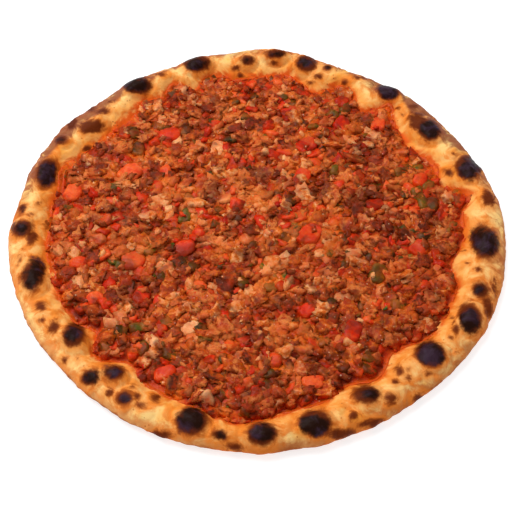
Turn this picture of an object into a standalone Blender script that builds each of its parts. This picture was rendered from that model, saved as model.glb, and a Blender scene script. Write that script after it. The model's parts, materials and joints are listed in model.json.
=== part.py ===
"""Lahmacun: a round flatbread with a puffed, blistered rim, spread thinly with minced meat, tomato, onion and pepper.

Metres, +Z up. The origin is the middle of the flat underside, +X is the eater's right and +Y points away from them.
Angles round the bread are in degrees, anticlockwise from +X.
"""

import math
import random
from collections import namedtuple

import bmesh
import bpy
from mathutils import Vector, noise
from mathutils.geometry import delaunay_2d_cdt

MM = 0.001
SEED = 11

# The bread: a thin sheet of dough whose border has puffed up into a roll.
BREAD_RADIUS = 140 * MM
SHEET_THICKNESS = 3.5 * MM
ROLL_HEIGHT = 11.3 * MM
ROLL_WAVE = 0.7 * MM
CROWN_AT = 0.56
EDGE_HEIGHT = 5.2 * MM
LOWER_EDGE_HEIGHT = 1.3 * MM
LOWER_EDGE_INSET = 2.3 * MM
UNDERSIDE_INSET = 7.0 * MM

# The back of the bread bulges, so the middle that angles and places are counted from isn't the middle of its box.
BOX_MIDDLE = Vector((0.8 * MM, 3.7 * MM, 0))

# The spread: a layer of mince on the sheet, whose crumbs are too fine to be pieces, so they are bumps of their size.
SPREAD_RADIUS = 118 * MM
SPREAD_TOP = 7.3 * MM
SPREAD_SWELL = 0.5 * MM
SPREAD_EDGE_THICKNESS = 0.7 * MM
ROLL_FOOT_INSIDE_SPREAD = 5.0 * MM
CRUMB_SPACING = 4.15 * MM
CRUMB_RISE = (0.4 * MM, 1.4 * MM)
CREVICE_DROP = (0.2 * MM, 0.9 * MM)
CRUMB_SHARE = 0.45
CRUMB_SHIFT = 0.24
CRUMB_CLEARANCE = 0.42 * CRUMB_SPACING

# The dice of vegetable that lie half sunk in the mince.
DICE_BOTTOM = 5.1 * MM
DICE_TOP = 9.4 * MM
DICE_SHOULDER = 1.3 * MM
DICE_SLOPE = 0.07
DICE_CHAMFER = 0.26
DICE_UNEVEN = 0.06
GAP = 0.35 * MM

# Mesh steps: round the bread, from the roll's foot to the spread's edge, and from there to the outer edge.
ROUND_STEPS = 160
COVERED_STEPS = (0.0, 0.5, 1.0)
BARE_STEPS = (0.15, 0.31, 0.47, 0.63, 0.77, 0.88, 0.96, 1.0)

# Where the outer edge stands further out or in: angle, reach in mm, spread in degrees.
Wave = namedtuple("Wave", "angle reach spread")
EDGE_WAVES = (
    Wave(6, 1.6, 7),
    Wave(30, -0.9, 10),
    Wave(47, 1.0, 6),
    Wave(65.5, -1.4, 3.5),
    Wave(86.5, 7.6, 9),
    Wave(104.5, 3.2, 4),
    Wave(124, 1.6, 5),
    Wave(134.5, -1.2, 6),
    Wave(144, 1.4, 4),
    Wave(172, -1.8, 5),
    Wave(198, -1.2, 7),
    Wave(222, -3.4, 15),
    Wave(268, -0.8, 18),
    Wave(307, -2.7, 14),
)
# Where the mince reaches past its mean radius or is held back by a bubble of dough.
SPREAD_WAVES = (
    Wave(11.5, 7.5, 3.2),
    Wave(17.5, -6.5, 2.6),
    Wave(35, -6.5, 5.0),
    Wave(49.5, 10.5, 2.6),
    Wave(54.5, -6.5, 2.6),
    Wave(64.5, 7.5, 4.0),
    Wave(71, -5.5, 2.2),
    Wave(82, 8.0, 4.5),
    Wave(92, 4.0, 4.0),
    Wave(102, 8.5, 3.8),
    Wave(110, -2.5, 2.2),
    Wave(114.5, 8.5, 2.6),
    Wave(125.5, 5.5, 2.8),
    Wave(131, -2.5, 2.5),
    Wave(142, -2.0, 4.0),
    Wave(158.5, 6.0, 4.0),
    Wave(174, 1.0, 5.0),
    Wave(207, -1.5, 6.0),
    Wave(218.5, -7.5, 3.0),
    Wave(226, 3.5, 2.5),
    Wave(234, -7.0, 4.0),
    Wave(266, 8.0, 6.0),
    Wave(294.5, -5.5, 4.0),
    Wave(311, -8.0, 4.0),
    Wave(317, -2.5, 3.0),
    Wave(347.5, -7.0, 4.2),
    Wave(359, 1.0, 4.0),
)

# The blisters on the rim: angle, distance from the middle, size along and across the rim and height, in mm.
Blister = namedtuple("Blister", "angle out along across rise")
BLISTERS = (
    Blister(8, 135, 11, 8, 1.5),
    Blister(18, 132.5, 19, 12, 3.0),
    Blister(36, 126, 24, 16, 3.5),
    Blister(51.5, 132, 16, 12, 3.0),
    Blister(70, 134, 8, 5, 1.5),
    Blister(76.5, 133, 9, 14, 3.5),
    Blister(85, 136.5, 17, 8, 5.0),
    Blister(92.5, 132.5, 10, 9, 2.5),
    Blister(106.5, 134.5, 20, 14, 4.0),
    Blister(124, 133, 18, 12, 3.0),
    Blister(142, 123, 16, 10, 2.0),
    Blister(151.5, 133, 8, 10, 1.5),
    Blister(163, 131, 24, 13, 3.0),
    Blister(181, 133, 11, 11, 2.5),
    Blister(197, 127.5, 23, 13, 3.5),
    Blister(213, 128, 8, 6, 1.0),
    Blister(218.5, 122.5, 18, 12, 4.0),
    Blister(230, 132, 9, 11, 1.5),
    Blister(233.5, 122, 12, 9, 3.0),
    Blister(239.5, 131.5, 8, 7, 1.5),
    Blister(255.5, 128.5, 16, 16, 3.5),
    Blister(262.5, 134, 7, 6, 1.0),
    Blister(271, 134.5, 17, 12, 3.0),
    Blister(283, 131.5, 17, 14, 3.5),
    Blister(291.5, 133, 7, 5, 1.0),
    Blister(296.5, 125, 13, 11, 2.5),
    Blister(301, 132, 7, 7, 1.5),
    Blister(316.5, 126.5, 15, 14, 3.5),
    Blister(330.5, 131, 18, 12, 3.5),
    Blister(339.5, 130, 8, 10, 2.0),
    Blister(354, 129.5, 22, 14, 4.0),
)
BLISTER_SKIRT = 3.0 * MM

# The larger dice: place right of and away from the middle, length and width, in mm, and turn in degrees.
Dice = namedtuple("Dice", "right away length width turn")
TOMATOES = (
    Dice(68, 17, 11, 10, 10),
    Dice(74, 80, 14, 9, 80),
    Dice(95.5, 36, 12, 9, 80),
    Dice(53, 99, 10, 8, 60),
    Dice(52, 80, 12, 10, 60),
    Dice(20, 90, 11, 9, 20),
    Dice(30, 63, 14, 11, 30),
    Dice(27, 37, 13, 10, 75),
    Dice(-12, 47, 14, 11, 70),
    Dice(-74, 41, 15, 13, 50),
    Dice(-52, 71, 14, 10, 10),
    Dice(-106, 26, 14, 10, 75),
    Dice(-98, -25, 11, 8, 15),
    Dice(-68, -23, 14, 13, 30),
    Dice(-87, -49, 10, 9, 50),
    Dice(-62, -47, 13, 9, 65),
    Dice(-40, -15, 13, 11, 35),
    Dice(-33, -42, 13, 10, 0),
    Dice(-47, -96, 12, 8, 15),
    Dice(30, -5, 16, 12, 60),
    Dice(20, -36, 13, 9, 80),
    Dice(27, -57, 10, 9, 30),
    Dice(51, -70, 14, 10, 70),
    Dice(29, -101, 12, 8, 5),
    Dice(1, -109, 13, 8, 85),
    Dice(91, -15, 12, 10, 50),
)
ONIONS = (
    Dice(-89, -9, 10, 8, 20),
    Dice(-5, -8, 10, 8, 50),
    Dice(13, -72, 12, 7, 75),
    Dice(-35, -68, 11, 8, 20),
    Dice(-50, -28, 10, 8, 10),
    Dice(-23, 60, 13, 8, 75),
    Dice(74, -63, 10, 7, 10),
    Dice(47, -48, 10, 8, 25),
)
PEPPERS = (
    Dice(-70, 60, 12, 7, 85),
    Dice(-40, 8, 12, 7, 60),
    Dice(67, -33, 14, 10, 65),
    Dice(41, 72, 9, 6, 60),
    Dice(101, 17, 11, 7, 85),
    Dice(-62, -68, 12, 6, 10),
)

TOMATO_RED = (0.62, 0.045, 0.012)
ONION_CREAM = (0.68, 0.26, 0.09)
PEPPER_GREEN = (0.075, 0.06, 0.012)
CRUST_GOLD = (0.86, 0.47, 0.14)
MINCE_BROWN = (0.30, 0.062, 0.018)


def clear_scene():
    """Empty the file of objects."""
    for thing in list(bpy.data.objects):
        bpy.data.objects.remove(thing)


def round_angles():
    """The angles of the mesh steps round the bread."""
    return [2 * math.pi * step / ROUND_STEPS for step in range(ROUND_STEPS)]


def wave_sum(waves, angle):
    """Sum the bell-shaped waves at an angle in radians, in metres."""
    total = 0.0
    for wave in waves:
        off = (math.degrees(angle) - wave.angle + 180) % 360 - 180
        total += wave.reach * MM * math.exp(-0.5 * (off / wave.spread) ** 2)
    return total


def edge_radius(angle):
    """Radius of the bread's outer edge."""
    return BREAD_RADIUS + wave_sum(EDGE_WAVES, angle)


def spread_radius(angle):
    """Radius at which the mince ends."""
    return SPREAD_RADIUS + wave_sum(SPREAD_WAVES, angle)


def foot_radius(angle):
    """Radius at which the flat sheet starts to rise into the roll."""
    return spread_radius(angle) - ROLL_FOOT_INSIDE_SPREAD


def blister_rise(x, y):
    """Height that the blisters add at a place on the rim."""
    rise = 0.0
    for blister in BLISTERS:
        turn = math.radians(blister.angle)
        out_x, out_y = math.cos(turn), math.sin(turn)
        across = x * out_x + y * out_y - blister.out * MM
        along = y * out_x - x * out_y
        share = (along / (blister.along * MM / 2 + BLISTER_SKIRT)) ** 2
        share += (across / (blister.across * MM / 2 + BLISTER_SKIRT)) ** 2
        if share < 1:
            rise = max(rise, blister.rise * MM * (1 - share) ** 1.2)
    return rise


def roll_height(share, angle):
    """Height of the bare roll at a share of the way from its foot to the outer edge."""
    wave = noise.noise(Vector((3 * math.cos(angle), 3 * math.sin(angle), 0.5)))
    crown = ROLL_HEIGHT + ROLL_WAVE * wave
    if share <= CROWN_AT:
        climb = max(0.0, share / CROWN_AT)
        return SHEET_THICKNESS + (crown - SHEET_THICKNESS) * climb * climb * (3 - 2 * climb)
    fall = min(1.0, (share - CROWN_AT) / (1 - CROWN_AT))
    return EDGE_HEIGHT + (crown - EDGE_HEIGHT) * math.sqrt(1 - fall * fall)


def roll_point(radius, angle):
    """A point on the roll's skin. Blisters lift its top and push its outer side outwards."""
    foot, edge = foot_radius(angle), edge_radius(angle)
    share = (radius - foot) / (edge - foot)
    rise = blister_rise(radius * math.cos(angle), radius * math.sin(angle))
    side = max(0.0, (share - CROWN_AT) / (1 - CROWN_AT)) ** 3
    radius += rise * side / 2
    height = roll_height(share, angle) + rise * (1 - side)
    return Vector((radius * math.cos(angle), radius * math.sin(angle), height))


def covered_radii(angle):
    """Radii of the rings under the spread, from the roll's foot to the spread's edge."""
    foot = foot_radius(angle)
    return [foot + (spread_radius(angle) - foot) * share for share in COVERED_STEPS]


def bare_radii(angle):
    """Radii of the rings from the spread's edge to the outer edge."""
    spread = spread_radius(angle)
    return [spread + (edge_radius(angle) - spread) * share for share in BARE_STEPS]


def column(angle):
    """The points of the bread's skin at an angle, from the roll's foot over the top to the flat underside."""
    points = [roll_point(radius, angle) for radius in covered_radii(angle) + bare_radii(angle)]
    lower_edge = edge_radius(angle) - LOWER_EDGE_INSET
    flat_edge = edge_radius(angle) - UNDERSIDE_INSET
    points.append(Vector((lower_edge * math.cos(angle), lower_edge * math.sin(angle), LOWER_EDGE_HEIGHT)))
    points.append(Vector((flat_edge * math.cos(angle), flat_edge * math.sin(angle), 0.0)))
    return points


def material(name, colour, roughness):
    """A plain finish."""
    made = bpy.data.materials.new(name)
    made.use_nodes = True
    shader = made.node_tree.nodes["Principled BSDF"]
    shader.inputs["Base Color"].default_value = (*colour, 1.0)
    shader.inputs["Roughness"].default_value = roughness
    shader.inputs["Metallic"].default_value = 0.0
    made.diffuse_color = (*colour, 1.0)
    return made


def add_object(name, bm, finish):
    """Close off a bmesh as a named object with triangular faces that point outwards, centred on the origin."""
    bmesh.ops.triangulate(bm, faces=bm.faces[:])
    bmesh.ops.recalc_face_normals(bm, faces=bm.faces[:])
    bmesh.ops.translate(bm, verts=bm.verts[:], vec=-BOX_MIDDLE)
    mesh = bpy.data.meshes.new(name)
    bm.to_mesh(mesh)
    bm.free()
    mesh.materials.append(finish)
    bpy.context.scene.collection.objects.link(bpy.data.objects.new(name, mesh))


def join_rings(bm, first, second):
    """Faces between two closed rings with as many vertices."""
    count = len(first)
    for step in range(count):
        after = (step + 1) % count
        bm.faces.new((first[step], second[step], second[after], first[after]))


def bread_shell():
    """The sheet and its roll as one closed shell."""
    bm = bmesh.new()
    columns = [[bm.verts.new(point) for point in column(angle)] for angle in round_angles()]
    rings = list(zip(*columns))
    for inner, outer in zip(rings, rings[1:]):
        join_rings(bm, inner, outer)
    bm.faces.new(rings[0])
    bm.faces.new(rings[-1])
    return bm


def dice_outline(dice, draw, grow=0.0):
    """The plan of a dice: a rectangle with cut corners, a little uneven, grown on every side."""
    half_length, half_width = dice.length * MM / 2, dice.width * MM / 2
    cut = DICE_CHAMFER * dice.width * MM
    quarter = ((half_length, half_width - cut), (half_length - cut, half_width))
    corners = [*quarter]
    corners += [(-x, y) for x, y in reversed(quarter)]
    corners += [(-x, -y) for x, y in quarter]
    corners += [(x, -y) for x, y in reversed(quarter)]
    turn = math.radians(dice.turn)
    outline = []
    for x, y in corners:
        uneven = 1 + draw.uniform(-DICE_UNEVEN, DICE_UNEVEN)
        reach = Vector((x, y)) * uneven
        reach += reach.normalized() * grow
        outline.append(Vector((
            dice.right * MM + reach.x * math.cos(turn) - reach.y * math.sin(turn),
            dice.away * MM + reach.x * math.sin(turn) + reach.y * math.cos(turn),
        )))
    return outline


def dice_draw(dice):
    """The random numbers of one dice, the same each time they are asked for."""
    return random.Random(f"{SEED} {dice.right} {dice.away}")


def dice_shell(dice):
    """A dice with upright sides and a sloping top with soft shoulders."""
    draw = dice_draw(dice)
    outline = dice_outline(dice, draw)
    middle = Vector((dice.right * MM, dice.away * MM))
    slope = Vector((draw.uniform(-DICE_SLOPE, DICE_SLOPE), draw.uniform(-DICE_SLOPE, DICE_SLOPE)))
    bm = bmesh.new()
    rings = []
    for height, inset in ((DICE_BOTTOM, 0), (DICE_TOP - DICE_SHOULDER, 0), (DICE_TOP, DICE_SHOULDER)):
        ring = []
        for point in outline:
            reach = point - middle
            reach -= reach.normalized() * inset
            lift = slope.dot(reach) if height > DICE_BOTTOM else 0.0
            ring.append(bm.verts.new((middle.x + reach.x, middle.y + reach.y, height + lift)))
        rings.append(ring)
    for lower, upper in zip(rings, rings[1:]):
        join_rings(bm, lower, upper)
    bm.faces.new(rings[0])
    bm.faces.new(rings[-1])
    return bm


def near_outline(point, outline, clearance):
    """Whether a point is inside a convex anticlockwise outline or closer to it than the clearance."""
    for start, end in zip(outline, outline[1:] + outline[:1]):
        side = (end - start).normalized()
        if side.cross(point - start) < -clearance:
            return False
    return True


def crumb_points(pockets):
    """A shaken triangular lattice of points inside the spread and clear of its pockets."""
    draw = random.Random(SEED)
    points = []
    row_step = CRUMB_SPACING * math.sqrt(3) / 2
    shift = CRUMB_SPACING * CRUMB_SHIFT
    rows = int(BREAD_RADIUS / row_step) + 1
    for row in range(-rows, rows + 1):
        for place in range(-2 * rows, 2 * rows + 1):
            x = (place + row / 2) * CRUMB_SPACING + draw.uniform(-shift, shift)
            y = row * row_step + draw.uniform(-shift, shift)
            point = Vector((x, y))
            reach = spread_radius(math.atan2(y, x)) - 0.6 * CRUMB_SPACING
            clear = not any(near_outline(point, pocket, CRUMB_CLEARANCE) for pocket in pockets)
            if point.length < reach and clear:
                points.append(point)
    return points


def spread_height(x, y):
    """Height of the mince between its bumps: a level layer that follows the bread where the rim rises."""
    angle = math.atan2(y, x)
    level = SPREAD_TOP + SPREAD_SWELL * noise.noise(Vector((x, y, 0)) * 40)
    bread = roll_point(max(math.hypot(x, y), foot_radius(angle)), angle).z
    return max(level, bread + GAP + SPREAD_EDGE_THICKNESS)


def spread_shell(dice):
    """The mince: a bumpy top with a pocket for each dice, an edge, and an underside that follows the bread."""
    pockets = [dice_outline(one, dice_draw(one), grow=GAP) for one in dice]
    columns = [[roll_point(radius, angle) for radius in covered_radii(angle)] for angle in round_angles()]
    edge = [points[-1].to_2d() for points in columns]
    crumbs = crumb_points(pockets)

    flat = [*edge]
    loops = [list(range(len(edge)))]
    for pocket in pockets:
        loops.append(list(range(len(flat), len(flat) + len(pocket))))
        flat += pocket
    first_crumb = len(flat)
    flat += crumbs
    places, _, faces, origins, _, owners = delaunay_2d_cdt(flat, [], loops, 1, 1e-7)

    bm = bmesh.new()
    draw = random.Random(SEED + 1)
    top = {}
    for place, origin in zip(places, origins):
        height = spread_height(place.x, place.y)
        if origin[0] >= first_crumb:
            crumb = draw.random() < CRUMB_SHARE
            height += draw.uniform(*CRUMB_RISE) if crumb else -draw.uniform(*CREVICE_DROP)
        elif origin[0] < len(edge):
            height = columns[origin[0]][-1].z + GAP + SPREAD_EDGE_THICKNESS
        top[origin[0]] = bm.verts.new((place.x, place.y, height))
    for face, owner in zip(faces, owners):
        if owner == [0]:
            bm.faces.new([top[origins[corner][0]] for corner in face])

    for loop in loops[1:]:
        rim = [top[number] for number in loop]
        floor = [bm.verts.new((vert.co.x, vert.co.y, DICE_BOTTOM - GAP)) for vert in rim]
        join_rings(bm, rim, floor)
        bm.faces.new(floor)

    lifted = [[bm.verts.new((point.x, point.y, point.z + GAP)) for point in points] for points in columns]
    rings = list(zip(*lifted))
    for inner, outer in zip(rings, rings[1:]):
        join_rings(bm, inner, outer)
    join_rings(bm, rings[-1], [top[number] for number in loops[0]])
    bm.faces.new(rings[0])
    return bm


def build():
    """Model every piece."""
    clear_scene()
    add_object("bread", bread_shell(), material("crust", CRUST_GOLD, 0.6))
    all_dice = [*TOMATOES, *ONIONS, *PEPPERS]
    add_object("mince_spread", spread_shell(all_dice), material("mince", MINCE_BROWN, 0.4))
    kinds = (
        ("tomato", TOMATOES, TOMATO_RED, 0.25),
        ("onion", ONIONS, ONION_CREAM, 0.3),
        ("pepper", PEPPERS, PEPPER_GREEN, 0.35),
    )
    for kind, table, colour, roughness in kinds:
        finish = material(kind, colour, roughness)
        for number, dice in enumerate(table, 1):
            add_object(f"{kind}_{number:02d}", dice_shell(dice), finish)


build()
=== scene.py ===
"""Lahmacun: the looks of a round flatbread with a blistered rim, thinly spread with mince and vegetables.

The bread, the mince and the dice replace their plain solids and keep their form. Metres, +Z up, +X is the
eater's right and +Y points away from them. Angles round the bread are in degrees, anticlockwise from +X.
Angles and places are counted from the bread's own middle, and each finished piece is moved by BOX_MIDDLE,
so that the middle of the whole's box is at the origin.
"""

import json
import logging
import math
import random
from dataclasses import dataclass
from enum import Enum
from typing import Any, Callable, Sequence

import bmesh
import bpy
import numpy as np
from bpy.types import Material, Mesh, Node, NodeSocket, NodeTree, Object
from mathutils import Matrix, Vector, kdtree, noise
from mathutils.geometry import delaunay_2d_cdt

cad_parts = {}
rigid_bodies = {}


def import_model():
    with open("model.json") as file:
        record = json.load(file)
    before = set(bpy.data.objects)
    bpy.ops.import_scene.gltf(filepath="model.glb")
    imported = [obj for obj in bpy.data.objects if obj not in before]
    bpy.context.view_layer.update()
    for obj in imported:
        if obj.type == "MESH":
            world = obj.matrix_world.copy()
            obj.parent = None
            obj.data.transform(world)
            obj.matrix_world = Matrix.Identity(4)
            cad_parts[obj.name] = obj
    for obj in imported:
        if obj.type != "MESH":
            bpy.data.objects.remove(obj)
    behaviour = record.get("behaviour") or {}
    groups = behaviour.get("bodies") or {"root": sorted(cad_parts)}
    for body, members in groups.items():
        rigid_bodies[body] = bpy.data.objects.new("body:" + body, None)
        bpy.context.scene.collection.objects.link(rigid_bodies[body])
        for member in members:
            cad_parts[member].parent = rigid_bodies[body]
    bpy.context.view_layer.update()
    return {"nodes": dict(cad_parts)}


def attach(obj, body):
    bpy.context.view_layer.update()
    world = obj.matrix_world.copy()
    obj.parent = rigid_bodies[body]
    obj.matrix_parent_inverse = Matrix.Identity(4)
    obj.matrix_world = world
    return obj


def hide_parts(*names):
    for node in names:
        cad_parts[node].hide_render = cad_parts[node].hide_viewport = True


Array = np.ndarray
LOG = logging.getLogger("lahmacun")
MM = 0.001
BODY = "root"


class Mask(str, Enum):
    """Attributes of the meshes that the finishes read."""

    CHAR = "char"
    BROWN = "brown"
    STAIN = "stain"
    # How far down the outer side a point lies; the crust darkens with it, partly by baking and partly by
    # painted shade.
    SIDE = "side"
    RAISED = "raised"
    TINT = "tint"
    ROOM = "room"
    FRINGE = "fringe"
    # Painted shade on the outer side of the rim, a dull brown, strongest on the far quarters.
    SIDE_DUSK_SHADE = "dusk"
    # Painted shade on the outer side of the rim, a deep brown, strongest on the near right.
    SIDE_BROWN_SHADE = "baked"


class Burn(Enum):
    """How far the oven has taken a spot of the rim."""

    CHARRED = 1
    BROWNED = 2


@dataclass(frozen=True)
class Wave:
    """A bell-shaped departure from a radius, in mm, with its place and spread in degrees."""

    angle: float
    reach: float
    spread: float


@dataclass(frozen=True)
class Blister:
    """A bubble on the rim: its angle, and in mm its distance from the middle, sizes and height."""

    angle: float
    out: float
    along: float
    across: float
    rise: float


@dataclass(frozen=True)
class Spot:
    """A burnt spot as the eater sees it, in mm on the level of the sight plane."""

    right: float
    away: float
    wide: float
    deep: float
    burn: Burn = Burn.CHARRED


# Where the outer edge stands further out or in: angle, reach, spread.
EDGE_WAVES = tuple(
    Wave(*row)
    for row in (
        (6, 1.6, 7), (30, -0.9, 10), (47, 1.0, 6), (65.5, -1.4, 3.5), (86.5, 7.6, 9), (104.5, 3.2, 4),
        (124, 1.6, 5), (134.5, -1.2, 6), (144, 1.4, 4), (172, -1.8, 5), (198, -1.2, 7), (222, -3.4, 15),
        (268, -0.8, 18), (307, -2.7, 14),
    )
)
# Where the mince reaches further out or is held back.
SPREAD_WAVES = tuple(
    Wave(*row)
    for row in (
        (11.5, 7.5, 3.2), (17.5, -6.5, 2.6), (35, -6.5, 5.0), (49.5, 10.5, 2.6), (54.5, -6.5, 2.6),
        (64.5, 7.5, 4.0), (71, -5.5, 2.2), (82, 8.0, 4.5), (92, 4.0, 4.0), (102, 8.5, 3.8),
        (110, -2.5, 2.2), (114.5, 8.5, 2.6), (125.5, 5.5, 2.8), (131, -2.5, 2.5), (142, -2.0, 4.0),
        (158.5, 6.0, 4.0), (174, 1.0, 5.0), (207, -1.5, 6.0), (218.5, -7.5, 3.0), (226, 3.5, 2.5),
        (234, -7.0, 4.0), (266, 8.0, 6.0), (294.5, -5.5, 4.0), (311, -8.0, 4.0), (317, -2.5, 3.0),
        (347.5, -7.0, 4.2), (359, 1.0, 4.0),
    )
)
# The bubbles on the rim, one by one: angle, out, along, across, rise.
BLISTERS = tuple(
    Blister(*row)
    for row in (
        (8, 135, 11, 8, 1.5), (18, 132.5, 19, 12, 3.0), (36, 126, 24, 16, 3.5), (51.5, 132, 16, 12, 3.0),
        (70, 134, 8, 5, 1.5), (76.5, 133, 9, 14, 3.5), (85, 136.5, 17, 8, 5.0), (92.5, 132.5, 10, 9, 2.5),
        (106.5, 134.5, 20, 14, 4.0), (124, 133, 18, 12, 3.0), (142, 123, 16, 10, 2.0),
        (151.5, 133, 8, 10, 1.5), (163, 131, 24, 13, 3.0), (181, 133, 11, 11, 2.5),
        (197, 127.5, 23, 13, 3.5), (213, 128, 8, 6, 1.0), (218.5, 122.5, 18, 12, 4.0),
        (230, 132, 9, 11, 1.5), (233.5, 122, 12, 9, 3.0), (239.5, 131.5, 8, 7, 1.5),
        (255.5, 128.5, 16, 16, 3.5), (262.5, 134, 7, 6, 1.0), (271, 134.5, 17, 12, 3.0),
        (283, 131.5, 17, 14, 3.5), (291.5, 133, 7, 5, 1.0), (296.5, 125, 13, 11, 2.5),
        (301, 132, 7, 7, 1.5), (316.5, 126.5, 15, 14, 3.5), (330.5, 131, 18, 12, 3.5),
        (339.5, 130, 8, 10, 2.0), (354, 129.5, 22, 14, 4.0),
    )
)
# The burnt spots: right, away, wide, deep.
CHARRED_SPOTS = (
    (-37.5, 132, 18, 15), (-73.7, 112, 18, 15), (-5.5, 135, 9, 9), (13, 141, 14, 8), (32, 132, 13, 15),
    (82, 107, 14, 14), (104.5, 74, 14, 18), (124.5, 44, 15, 19.5), (127.5, -11, 15.5, 24),
    (121.5, -44, 9, 10), (113.7, -62.5, 12.5, 20), (90.5, -84.5, 16, 16), (56, -109, 14, 11),
    (29.5, -125.5, 16.5, 15), (3, -131.5, 15, 13.5), (-18, -132, 7, 6), (-32, -124, 16.5, 16),
    (-67, -111, 8, 8), (-73, -96, 11, 9), (-85, -99, 9, 10), (-96, -73, 12, 16), (-122, -34, 13, 22),
    (-132, -1.5, 12, 11.5), (-123, 40, 12.5, 22), (-117, 66, 7, 8), (-134, 13, 4, 6), (113, 40, 5, 5),
    (45, 128, 6, 5),
)
BROWNED_SPOTS = (
    (98.5, 81, 12, 16), (134, 20, 7, 12), (124.5, -56, 5, 11), (68, -111, 8, 7), (49, -122, 7, 5),
    (42, -131.5, 12, 6.5), (-107, -68, 5, 8), (-126, -8, 6, 8), (-99.5, 76.5, 15, 12), (-93, 90, 7, 6),
    (-112, 80, 7, 12), (-102, 93, 10, 7), (-12.5, 128, 5, 4), (-10, 121, 3, 3), (-60, 122, 5, 3),
    (-90, 98, 4, 4), (-125, 17, 4, 5), (-128, 9, 4, 3), (-101, 59, 4, 4), (-112, 33, 3, 3),
    (-130.5, -24, 3, 7), (-115, -55, 5, 5), (-114, -63.5, 3, 3), (-99, -89, 4, 5), (-92.5, -88, 2.5, 2.5),
    (-75, -108, 4, 4), (-63, -104, 3, 3), (-60, -110, 3, 3), (-58, -115, 4, 3.5), (-50.5, -111, 4, 3),
    (-10, -139, 8.5, 4.5), (58.5, -126, 12, 5), (73.5, -95, 4, 5), (79, -93, 3, 5), (78, -99, 4, 3.5),
    (71, -102, 3, 3), (88, -97, 5, 4), (102, -75, 2, 2), (104.5, -84, 2, 2), (104, -62, 2, 2),
    (106, -68, 4, 8), (130, -41, 3, 14), (122, -30, 4, 4), (115, -18, 2, 2), (116, -26, 2, 2),
    (117, 55, 3, 3), (97, 94, 5, 4), (87, 92, 2, 2), (89, 87, 2, 2), (66, 119, 6, 3), (55, 115, 3, 4),
    (39, 120.5, 5, 4), (34, 115, 5, 4), (11, 132, 4, 4), (-118, 1.5, 3.5, 7), (-47.5, -132, 10, 4.5),
    (82.5, -111, 6, 6),
)
SPOTS = tuple(
    Spot(*row, burn)
    for burn, table in ((Burn.CHARRED, CHARRED_SPOTS), (Burn.BROWNED, BROWNED_SPOTS))
    for row in table
)
# Where painted shade darkens the outer side to a dull brown, and where to a deep brown: angle, strength,
# spread.
SIDE_DUSK_SHADE_WAVES = (Wave(143, 1.0, 19), Wave(42, 0.85, 18), Wave(95, 0.3, 14), Wave(352, 0.3, 15))
SIDE_BROWN_SHADE_WAVES = (Wave(322, 0.9, 20), Wave(280, 0.9, 17), Wave(100, 0.5, 16), Wave(60, 0.5, 14))

BOX_MIDDLE = Vector((0.8, 3.7, 0)) * MM
EYE = Vector((-0.1, -400.2, 512.0)) * MM
SIGHT_LEVEL = 9 * MM

# Half the width of the lattices, and how far in shares of their spacing they stay from an outline.
LATTICE_REACH = 0.15
LATTICE_MARGIN = 0.7
MERGE_DISTANCE = 1e-8


def srgb(red: float, green: float, blue: float) -> tuple[float, float, float]:
    """Turn a colour as seen on a screen, 0 to 255, into the linear one that a shader takes."""
    shares = (channel / 255 for channel in (red, green, blue))
    return tuple(c / 12.92 if c <= 0.04045 else ((c + 0.055) / 1.055) ** 2.4 for c in shares)


def smooth_step(value: Array, low: float, high: float) -> Array:
    """Rise softly from 0 at low to 1 at high."""
    share = np.clip((value - low) / (high - low), 0, 1)
    return share * share * (3 - 2 * share)


def as_seen(points: Array) -> tuple[Array, Array]:
    """Carry points along the eater's line of sight to the sight plane.

    Args:
        points: the points, one row each.

    Returns:
        Their distances to the right and away on the plane.
    """
    stretch = (EYE.z - SIGHT_LEVEL) / (EYE.z - points[:, 2])
    return EYE.x + (points[:, 0] - EYE.x) * stretch, EYE.y + (points[:, 1] - EYE.y) * stretch


def polar(points: Array) -> tuple[Array, Array]:
    """Angle in radians and radius of each point about the bread's middle."""
    return np.arctan2(points[:, 1], points[:, 0]), np.hypot(points[:, 0], points[:, 1])


def on_circle(radius: Array, angle: Array, height: Array) -> Array:
    """Points at radii, angles and heights, one row each."""
    return np.stack((radius * np.cos(angle), radius * np.sin(angle), height), axis=1)


def noise_at(points: Array, scale: float, shift: float = 0.0) -> Array:
    """Smooth noise from about -1 to 1 at an array of points.

    Args:
        points: the points, one row each, in metres.
        scale: how many waves go into a metre.
        shift: moves the pattern, so that two calls differ.

    Returns:
        One value for each point.
    """
    away = Vector((shift, -shift, 2 * shift))
    return np.array([noise.noise(Vector(point) * scale + away) for point in points.tolist()])


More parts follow.
